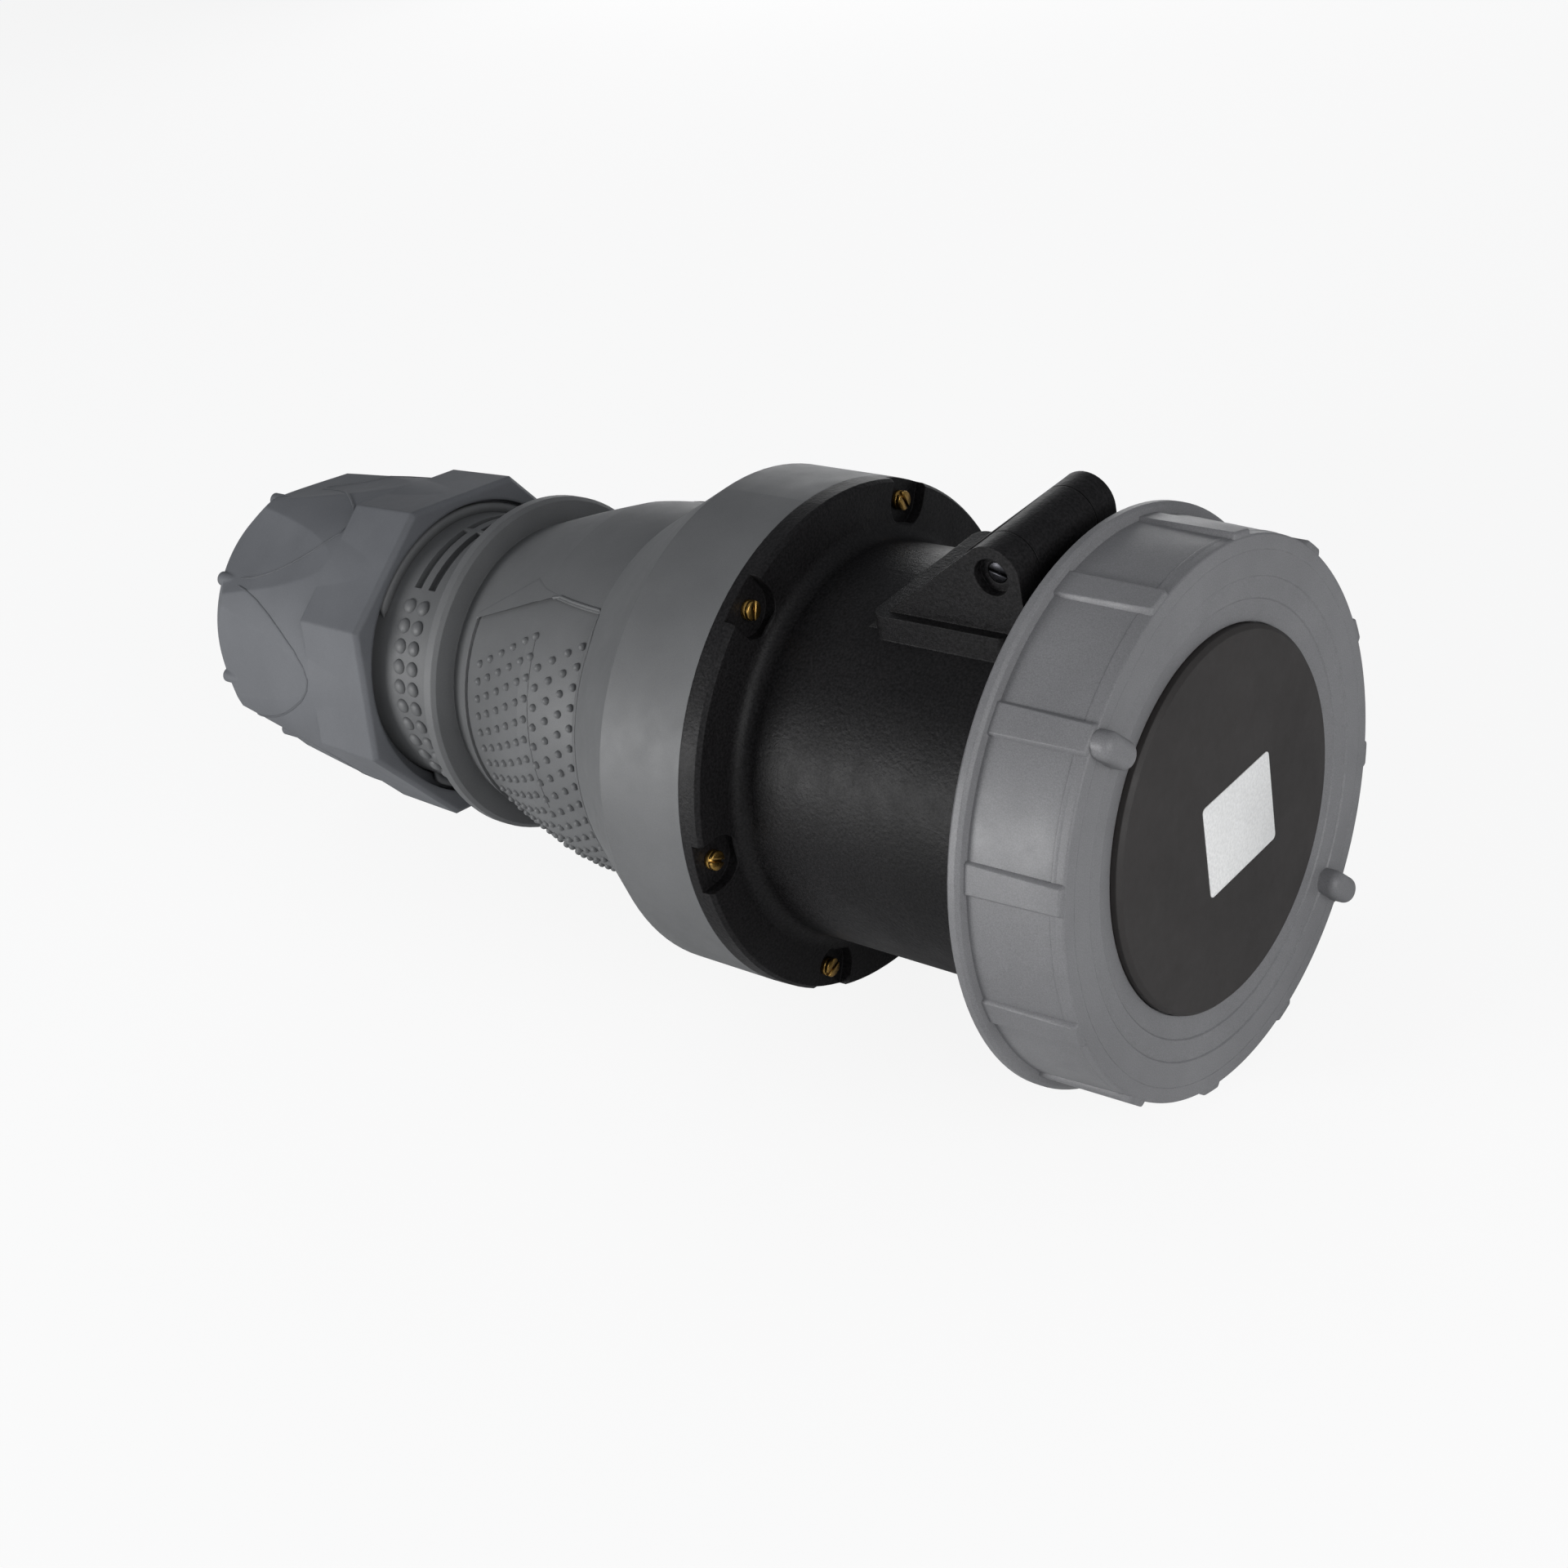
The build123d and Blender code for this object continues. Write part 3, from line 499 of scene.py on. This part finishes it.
def panel_edge_skin():
    """Skin that carries the grip's surface to the bead, over the recess's top and bottom."""
    mesh = bmesh.new()
    places = [
        SKIN_REAR + (SKIN_CREASE - SKIN_REAR) * k / SKIN_REAR_STEPS for k in range(SKIN_REAR_STEPS)
    ]
    places += [SKIN_CREASE + k for k in range(SKIN_CREASE_STEPS)]
    sections = []
    for x in places:
        radius = seat(shell, x, 90)[0].z / MM + SKIN_LIFT
        low = height_at(PANEL_TOP, x)
        high = max(low + SKIN_LEAST, height_at(RECESS_TOP, x) + SKIN_LAP)
        heights = [low + (high - low) * m / SKIN_ROWS for m in range(SKIN_ROWS + 1)]
        outside = [(x, radius, z) for z in heights]
        inside = [(x, radius - SKIN_DEPTH, z) for z in reversed(heights)]
        sections.append(outside + inside)
    for side in (1, -1):
        for flip in (1, -1):
            loft(mesh, [
                [
                    mesh.verts.new(Vector((x, side * math.sqrt(r * r - z * z), flip * z)) * MM)
                    for x, r, z in section
                ]
                for section in sections
            ])
    piece_from("panel_edge_skin", mesh, grey_skin, "housing", crisp=True)


# Cheeks of the belly: (x, radius) outlines and the angles that each runs over

CHEEK_FACE = 228.93
CHEEKS = (
    (((159.3, 49.3), (159.3, 54.5), (162.5, 56.3), (166.6, 58.1), (166.6, 49.3)),
     (CHEEK_FACE, 230.2)),
    (((158.93, 49.3), (158.93, 54.5), (160.2, 55.1), (160.2, 49.3)),
     [CHEEK_FACE + 2 * k for k in range(5)]),
)


def belly_cheeks():
    """Plates over the slot that each panel's recess leaves in the belly's side and rear walls."""
    mesh = bmesh.new()
    for side in (1, -1):
        for outline, angles in CHEEKS:
            loft(mesh, [
                [mesh.verts.new(at(x, radius, mirrored(angle, side))) for x, radius in outline]
                for angle in angles
            ])
    piece_from("belly_cheeks", mesh, grey_housing, "housing", crisp=True)


# Thread's lip on the neck

LIP_X, LIP_WIDTH = 79.4, 2.2
LIP_ROOT, LIP_TOP = 37.9, 40.6
LIP_STARTS, LIP_SPAN = (42, 222), 98
LIP_STEPS, LIP_END_STEPS = 36, 2.0
LIP_END_RISE, LIP_END_WIDTH = 0.15, 0.35  # shares that are left at the very ends
LIP_SOFT = 0.4


def thread_lip():
    """Lip where the neck's thread runs out: a bar with rounded ends on each side."""
    mesh = bmesh.new()
    for start in LIP_STARTS:
        loops = []
        for k in range(LIP_STEPS + 1):
            share = k / LIP_STEPS
            angle = start + LIP_SPAN * share
            from_end = min(share, 1 - share) * LIP_STEPS / LIP_END_STEPS
            swell = math.sqrt(1 - (1 - min(from_end, 1.0)) ** 2)
            top = LIP_ROOT + (LIP_TOP - LIP_ROOT) * max(LIP_END_RISE, swell)
            half = LIP_WIDTH / 2 * max(LIP_END_WIDTH, swell)
            soft = min(LIP_SOFT, (top - LIP_ROOT) / 2)
            outline = (
                (-half, LIP_ROOT), (-half, top - soft), (soft - half, top),
                (half - soft, top), (half, top - soft), (half, LIP_ROOT),
            )
            loops.append([mesh.verts.new(at(LIP_X + dx, r, angle)) for dx, r in outline])
        loft(mesh, loops)
    piece_from("thread_lip", mesh, grey_housing, "housing")


# Screws of the flange and the hinge's pin

SCREW_X, SCREW_CIRCLE = 216.3, 58.6  # seat of the heads, and its radius from the axis
SCREW_SLOTS = (25, 110, 70, 150, 15, 95)  # each screw's slot has its own angle
SCREW_SHANK = ((-13.9, 1.3), (-13.5, 1.75), (0.01, 1.75))
SCREW_HEAD = ((0.0, 2.3), (0.1, 2.4), (1.3, 2.4))
SCREW_TOP, SCREW_HALF_SLOT = 2.3, 0.4
PIN_SLOT_DEPTH, PIN_HALF_SLOT = 0.9, 0.35
PIN_SLOT = Vector((1, 0, -0.25))


def flange_screws():
    """Slotted cheese head screws in the pockets."""
    mesh = bmesh.new()
    shoulder, radius = SCREW_HEAD[-1]
    for step, angle in enumerate(SCREW_SLOTS):
        head = at(SCREW_X, SCREW_CIRCLE, 360 / len(SCREW_SLOTS) * step)
        lathe(mesh, head, AXIS, SCREW_SHANK, sides=20)
        lathe(mesh, head, AXIS, SCREW_HEAD, sides=28)
        turn = math.radians(angle)
        slot = Vector((0, math.cos(turn), math.sin(turn)))
        slotted_top(mesh, head, AXIS, slot, radius, shoulder, SCREW_TOP, SCREW_HALF_SLOT)
    piece = piece_from("slotted_flange_screws", mesh, brass, "housing")
    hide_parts("flange_screws")


def slotted_pin():
    """The hinge pin with a driver's slot in each end."""
    mesh = bmesh.new()
    low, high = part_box("hinge_pin")
    centre = (low + high) / 2
    radius = (high.x - low.x) / 2 / MM
    end = high.y / MM
    shoulder = end - PIN_SLOT_DEPTH
    for side in (1, -1):
        out = Vector((0, side, 0))
        lathe(mesh, centre, out, ((0.0, radius), (shoulder, radius)), sides=28)
        slotted_top(mesh, centre, out, PIN_SLOT, radius, shoulder, end, PIN_HALF_SLOT)
    piece = piece_from("slotted_hinge_pin", mesh, dark_steel, "housing")
    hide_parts("hinge_pin")


# Ridges of the gland nut

LEAVES, LEAF_FIRST = 6, 49.5
LEAF = (  # x, half of the leaf's width as an angle
    (19.0, 28.5), (25.0, 27.2), (31.5, 24.3), (38.0, 20.2), (44.0, 15.6), (51.0, 9.6),
    (55.0, 4.4), (56.4, 0.0),
)
RIDGE_STEPS, RIDGE_RADIUS, RIDGE_SINK = 10, 0.42, 0.12


def nut_ridges():
    """Six leaves round the nut's cone, their roots at the tail ribs."""
    mesh = bmesh.new()
    nut = skin_of("gland_nut")
    for leaf in range(LEAVES):
        middle = LEAF_FIRST + 360 / LEAVES * leaf
        path = [(x, middle + half) for x, half in LEAF]
        path += [(x, middle - half) for x, half in reversed(LEAF[:-1])]
        line = []
        for x, angle in split(path, RIDGE_STEPS):
            hit, normal = seat(nut, x, angle)
            line.append((hit - normal * (RIDGE_SINK * MM), normal))
        cord_along(mesh, line, RIDGE_RADIUS)
    piece_from("nut_ridges", mesh, grey_nut, "nut")


# Locking ring: panels and ribs over the solid's own

RING_SKIN = (  # x, radius
    (295.3, 65.30), (301.0, 65.05), (307.0, 64.80), (313.0, 64.52), (318.9, 64.25),
    (319.35, 64.15), (319.58, 63.95), (319.63, 63.70), (319.63, 60.60), (317.6, 60.60),
    (316.0, 62.0), (295.3, 62.0),
)
RING_SIDES = 240
RIBS, RIB_FIRST = 12, 13.5
RIB_HALF = (  # half of the width, height from the axis
    (4.3, 63.4), (4.2, 64.3), (3.95, 65.05), (3.65, 65.7), (3.3, 66.02), (0.0, 66.08),
)
RIB_SECTIONS = (  # x, how much the section has shrunk there
    (295.0, 0.0), (301.0, 0.12), (307.0, 0.24), (313.0, 0.36), (318.8, 0.48), (319.2, 0.62),
    (319.45, 0.95),
)


def ring_skin():
    """The ring's panels, close under the ribs' tops and out to a sharp front edge."""
    mesh = bmesh.new()
    loops = [
        [mesh.verts.new(at(x, radius, 360 * k / RING_SIDES)) for x, radius in RING_SKIN]
        for k in range(RING_SIDES)
    ]
    loft(mesh, loops + loops[:1], ends=False)
    piece_from("ring_skin", mesh, grey_ring, "ring", crisp=True)


def ring_ribs():
    """Low bars with soft flanks, run out to the front edge."""
    mesh = bmesh.new()
    for rib in range(RIBS):
        turn = math.radians(RIB_FIRST + 360 / RIBS * rib)
        radial = Vector((0, math.cos(turn), math.sin(turn)))
        tangent = Vector((0, -math.sin(turn), math.cos(turn)))
        loops = []
        for x, shrink in RIB_SECTIONS:
            half = [(max(0.0, width - shrink), height - shrink) for width, height in RIB_HALF]
            outline = half + [(-width, height) for width, height in reversed(half[:-1])]
            loops.append([
                mesh.verts.new((AXIS * x + radial * height + tangent * width) * MM)
                for width, height in outline
            ])
        loft(mesh, loops)
    piece_from("ring_ribs", mesh, grey_ring, "ring", crisp=True)


# Label of the lid

LABEL_HALF_Y, LABEL_HALF_Z, LABEL_CORNER = 14.25, 11.5, 1.2
LABEL_LAYERS = ((-0.05, 1.0), (0.16, 1.0), (0.22, 0.994))  # height over the cap, scale
LABEL_Y, LABEL_Z, LABEL_TILT = 3.9, -2.8, -2
ARC_STEPS = 6


def label():
    """Bare rounded plate stuck on the lid's face."""
    mesh = bmesh.new()
    outline = []
    for way_y, way_z, first in ((1, 1, 0), (-1, 1, 90), (-1, -1, 180), (1, -1, 270)):
        for step in range(ARC_STEPS + 1):
            t = math.radians(first + step * 90 / ARC_STEPS)
            y = way_y * (LABEL_HALF_Y - LABEL_CORNER) + LABEL_CORNER * math.cos(t)
            z = way_z * (LABEL_HALF_Z - LABEL_CORNER) + LABEL_CORNER * math.sin(t)
            outline.append((y, z))
    loft(mesh, [
        [mesh.verts.new(Vector((x, y * scale, z * scale)) * MM) for y, z in outline]
        for x, scale in LABEL_LAYERS
    ])
    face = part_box("lid_cap")[1][0]
    place = Matrix.Translation((face, LABEL_Y * MM, LABEL_Z * MM))
    mesh.transform(place @ Matrix.Rotation(math.radians(LABEL_TILT), 4, "X"))
    piece_from("label", mesh, label_film, "lid")


PIECES = (
    grip_studs, panel_bead, panel_edge_skin, belly_cheeks, neck_dots, flange_screws,
    slotted_pin, nut_ridges, ring_skin, ring_ribs, thread_lip, label,
)
for make in PIECES:
    make()


# Camera

camera_data = bpy.data.cameras.new("camera")
camera_data.lens = 55.36
camera_data.sensor_width = 36
camera_data.clip_end = 50
camera = linked("camera", camera_data)
right = Vector((0.76331, 0.61780, -0.18888))
up = Vector((-0.19751, 0.50154, 0.84228))
back = Vector((0.61510, -0.60561, 0.50485))
pose = Matrix((right, up, back)).transposed().to_4x4()
pose.translation = (0.5708, -0.3790, 0.2946)
camera.matrix_world = pose
bpy.context.scene.camera = camera
bpy.context.scene.view_settings.view_transform = "Standard"


# Floor

FLOOR_HALF = 8
FLOOR_GAP = 0.0001  # under the lowest point of the part
FLOOR_GLOW, FLOOR_GLOW_SHARE = 1.03, 0.85  # what the camera sees of the floor's own light


def floor_material():
    """Pale mottled floor that glows for the camera alone, and still takes shadows."""
    g = MaterialGraph("floor")
    tone = g.ramp(g.noise(scale=3, detail=2), "Fac", grey(0.86), grey(0.90), low=0.3, high=0.7)
    g.join(tone, "Color", g.shader, "Base Color")
    g.shader.inputs["Roughness"].default_value = 0.9
    glow = g.add("ShaderNodeEmission", {"Strength": FLOOR_GLOW})
    path = g.add("ShaderNodeLightPath")
    share = g.add("ShaderNodeMath", {1: FLOOR_GLOW_SHARE}, operation="MULTIPLY")
    g.join(path, "Is Camera Ray", share, 0)
    blend = g.add("ShaderNodeMixShader")
    g.join(share, "Value", blend, "Fac")
    g.join(g.shader, "BSDF", blend, 1)
    g.join(glow, "Emission", blend, 2)
    g.join(blend, "Shader", g.output, "Surface")
    return g.material


floor_mesh = bmesh.new()
bmesh.ops.create_grid(floor_mesh, x_segments=2, y_segments=2, size=FLOOR_HALF)
floor_data = bpy.data.meshes.new("floor")
floor_mesh.to_mesh(floor_data)
floor_mesh.free()
floor = linked("floor", floor_data)
floor.location = (0, 0, cad_box[0][2] - FLOOR_GAP)
paint(floor, floor_material())


# World

def studio():
    """A dim sky on the object, with plain white behind it."""
    world = bpy.data.worlds.new("studio")
    bpy.context.scene.world = world
    world.use_nodes = True
    g = Graph(world.node_tree)
    output = g.add("ShaderNodeOutputWorld")
    dim = g.add("ShaderNodeBackground", {"Color": (0.92, 0.95, 1.0, 1), "Strength": 0.24})
    white = g.add("ShaderNodeBackground", {"Color": WHITE, "Strength": 1.0})
    path = g.add("ShaderNodeLightPath")
    seen = g.add("ShaderNodeMath", operation="MAXIMUM")
    g.join(path, "Is Camera Ray", seen, 0)
    g.join(path, "Is Transmission Ray", seen, 1)
    choose = g.add("ShaderNodeMixShader")
    g.join(seen, "Value", choose, "Fac")
    g.join(dim, "Background", choose, 1)
    g.join(white, "Background", choose, 2)
    g.join(choose, "Shader", output, "Surface")


studio()


# Lamps

MIDDLE = Vector((0.17, 0, 0))
LAMPS = (  # name, place, width and height, watts
    ("key", (-0.42, -1.10, 0.24), (0.6, 0.35), 9.6),
    ("front", (1.25, -0.35, 0.35), (0.7, 0.7), 6.4),
    ("top", (-0.1, 0.1, 1.3), (0.8, 0.8), 0.6),
    ("back", (-0.5, 1.2, 0.10), (0.8, 0.6), 4.0),
)


def lamp(name, place, size, power):
    """A rectangular lamp that faces the middle of the part."""
    data = bpy.data.lights.new(name, "AREA")
    data.shape = "RECTANGLE"
    data.size, data.size_y = size
    data.energy = power
    light = linked(name, data)
    light.location = place
    light.rotation_mode = "QUATERNION"
    light.rotation_quaternion = (MIDDLE - Vector(place)).to_track_quat("-Z", "Y")


for row in LAMPS:
    lamp(*row)
